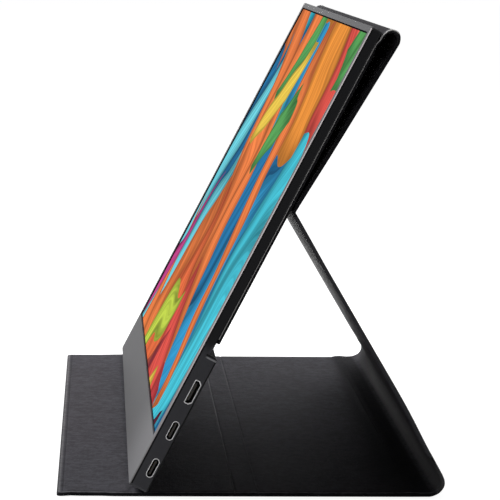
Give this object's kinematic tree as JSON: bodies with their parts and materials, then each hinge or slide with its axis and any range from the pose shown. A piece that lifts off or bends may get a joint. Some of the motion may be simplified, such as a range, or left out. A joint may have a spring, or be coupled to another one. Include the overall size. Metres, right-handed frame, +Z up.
{
  "type": "portable monitor with folding cover",
  "caption": "Thin portable monitor leaning on a folded leatherette cover that doubles as its stand, with side ports and a lit picture.",
  "frame": {"origin": "centre of the bounding box on the table, under the cover", "axes": "+X across to the side with the ports, +Y to the back of the stand, +Z up"},
  "size_m": [0.3575, 0.1682, 0.2021],
  "materials": {
    "leatherette": "fine-grained grey leatherette",
    "lining": "black napped lining",
    "cover_board": "stiff grey board",
    "steel": "plain steel",
    "port_shell": "bright nickel-plated shell",
    "case": "dark anodised, fine bead blast",
    "bezel": "matte grey",
    "screen": "matte film over a lit picture",
    "cell_glass": "thin display glass",
    "optical_plastic": "clear and white film",
    "frame_metal": "plain sheet",
    "board_green": "solder mask",
    "flex": "amber film",
    "black_plastic": "black moulded plastic",
    "button": "satin black plastic"
  },
  "bodies": {
    "floor_panel": {"floor_skin": "leatherette", "floor_board": "cover_board", "floor_lining": "lining"},
    "crease_panel": {"crease_strip": "leatherette", "crease_rear": "leatherette"},
    "front_flap": {"flap_skin": "leatherette", "flap_board": "cover_board", "flap_lining": "lining", "flap_magnets": "steel", "crease_front": "leatherette"},
    "strut": {"strut_skin": "leatherette", "strut_board": "cover_board", "strut_lining": "lining", "rear_spine": "lining"},
    "upper_panel": {"upper_skin": "leatherette", "upper_board": "cover_board", "upper_lining": "lining", "mid_fold": "lining"},
    "back_panel": {"back_skin": "leatherette", "back_board": "cover_board", "back_lining": "lining", "back_magnets": "steel", "top_spine": "lining"},
    "monitor": {"rear_cover": "case", "front_bezel": "bezel", "display_film": "screen", "lcd_cell": "cell_glass", "optical_sheets": "optical_plastic", "light_guide": "optical_plastic", "reflector_sheet": "optical_plastic", "led_strip": "board_green", "panel_frame": "frame_metal", "driver_board": "board_green", "driver_flexes": "flex", "mainboard": "board_green", "board_chips": "black_plastic", "shield_can": "steel", "usb_c_port_upper": "port_shell", "usb_c_port_lower": "port_shell", "mini_hdmi_port": "port_shell", "port_tongues": "black_plastic", "headphone_jack": "black_plastic", "key_board": "board_green", "tact_switches": "black_plastic", "speaker_left": "black_plastic", "speaker_right": "black_plastic", "display_cable": "flex", "key_cable": "flex", "speaker_wires": "flex", "housing_screws": "steel", "board_screws": "steel", "steel_plates": "steel", "rocker_pin": "steel"},
    "power_button": {"power_button": "button"},
    "menu_rocker": {"menu_rocker": "button"}
  },
  "joints": [
    {"name": "crease_step", "type": "hinge", "parent": "floor_panel", "child": "crease_panel", "pos_m": [0, 0.0024, 0], "axis": [1, 0, 0], "range_deg": [0, 25], "deforming": ["crease_rear"]},
    {"name": "crease_return", "type": "hinge", "parent": "crease_panel", "child": "front_flap", "pos_m": [0, -0.0076, 0.0016], "axis": [1, 0, 0], "range_deg": [-25, 0], "deforming": ["crease_front"]},
    {"name": "strut_fold", "type": "hinge", "parent": "floor_panel", "child": "strut", "pos_m": [0, 0.0766, 0.0075], "axis": [-1, 0, 0], "range_deg": [-55, 6], "deforming": ["rear_spine"]},
    {"name": "mid_fold_turn", "type": "hinge", "parent": "strut", "child": "upper_panel", "pos_m": [0, 0.01636, 0.12294], "axis": [-1, 0, 0], "range_deg": [-12, 110], "deforming": ["mid_fold"]},
    {"name": "top_turn", "type": "hinge", "parent": "upper_panel", "child": "back_panel", "pos_m": [0, 0.05462, 0.19637], "axis": [-1, 0, 0], "range_deg": [0, 178], "deforming": ["top_spine"]},
    {"name": "magnet_release", "type": "slide", "parent": "back_panel", "child": "monitor", "axis": [0, -0.8906, 0.4548], "range_m": [0, 0.03]},
    {"name": "power_press", "type": "slide", "parent": "monitor", "child": "power_button", "axis": [1, 0, 0], "range_m": [0, 0.0003], "stiffness_N_per_m": 1500},
    {"name": "menu_rock", "type": "hinge", "parent": "monitor", "child": "menu_rocker", "pos_m": [-0.1754, -0.03404, 0.03055], "axis": [0, 0.8906, -0.4548], "range_deg": [-3, 3], "stiffness_Nm_per_rad": 0.05}
  ],
  "couplings": [
    {"joint": "crease_return", "follows": "crease_step", "ratio": -1},
    {"joint": "mid_fold_turn", "follows": "strut_fold", "ratio": -2}
  ]
}
